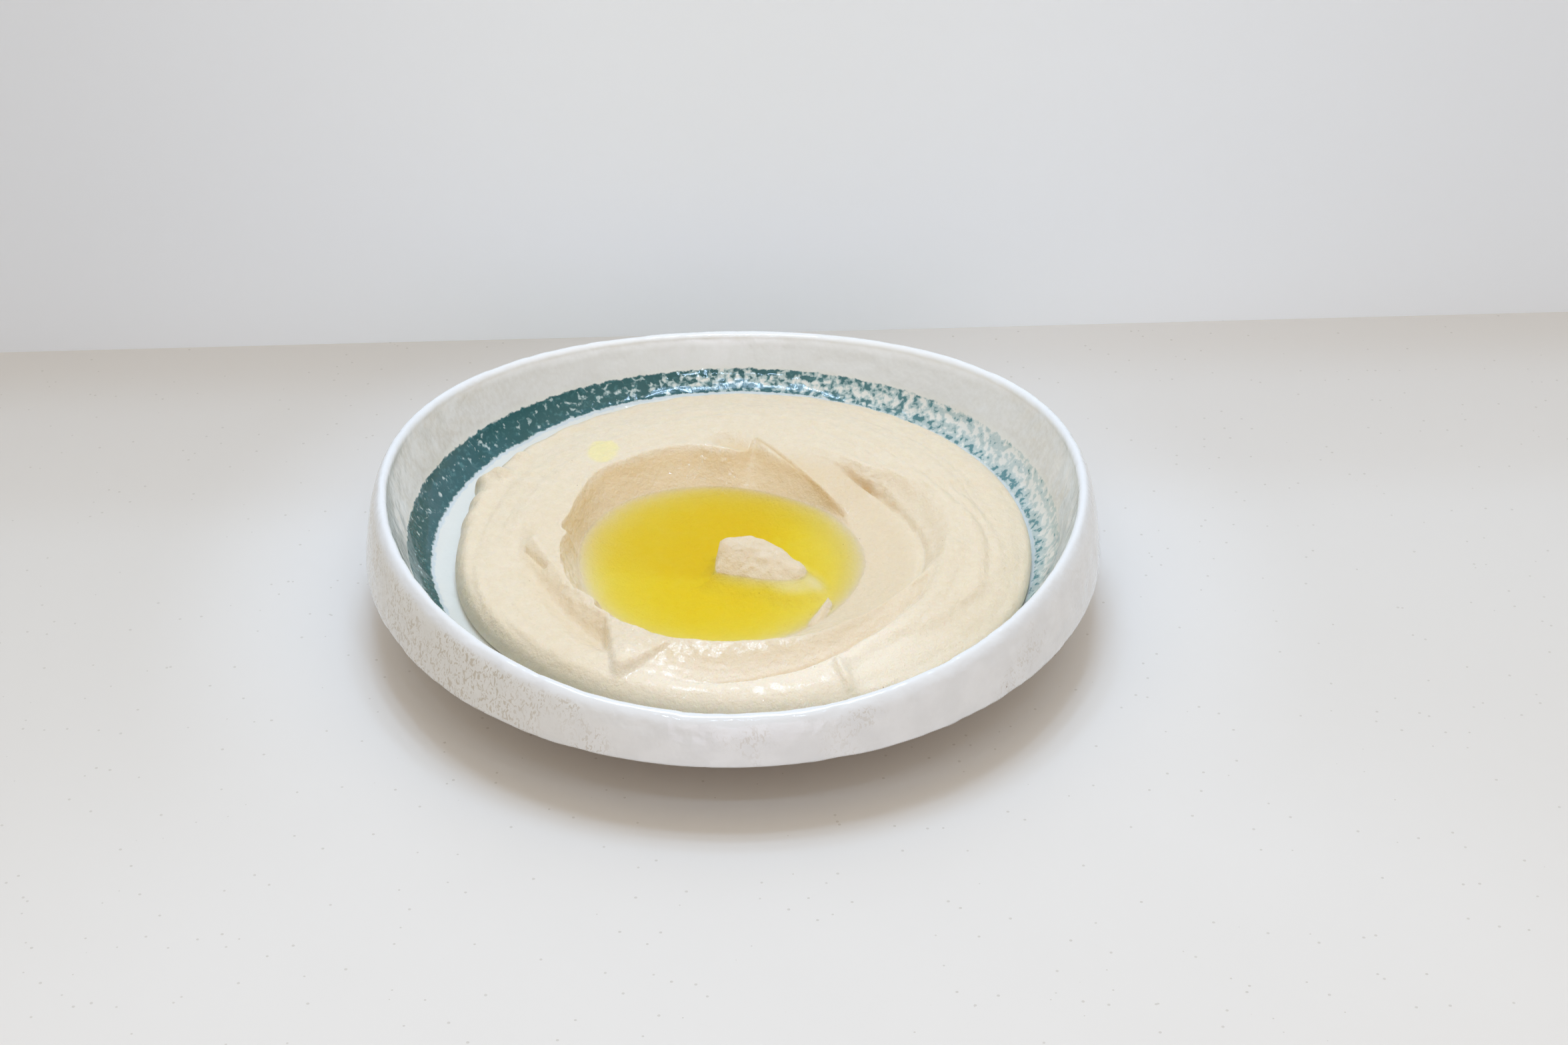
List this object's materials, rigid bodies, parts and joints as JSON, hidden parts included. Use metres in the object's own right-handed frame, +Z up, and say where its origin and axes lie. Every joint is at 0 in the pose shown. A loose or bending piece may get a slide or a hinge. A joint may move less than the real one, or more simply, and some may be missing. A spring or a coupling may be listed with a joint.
{
  "type": "bowl of hummus",
  "caption": "Wide shallow glazed bowl with a painted inner stripe, holding smooth swirled hummus with a well of olive oil round a small lump.",
  "frame": {"origin": "middle of the bowl's flat foot, on the surface that it stands on", "axes": "+Z up, the lip is highest towards +X and -X and lowest towards +Y and -Y, -Y is the front"},
  "size_m": [0.2452, 0.2454, 0.0509],
  "materials": {
    "glazed_stoneware": "glossy dimpled white glaze with faint beige specks, a mottled teal stripe inside",
    "hummus": "smooth damp paste, satin, swirled with a spoon",
    "olive_oil": "clear yellow oil, glossy and flat"
  },
  "bodies": {
    "root": {"bowl": "glazed_stoneware", "hummus": "hummus", "olive_oil": "olive_oil"}
  },
  "joints": []
}
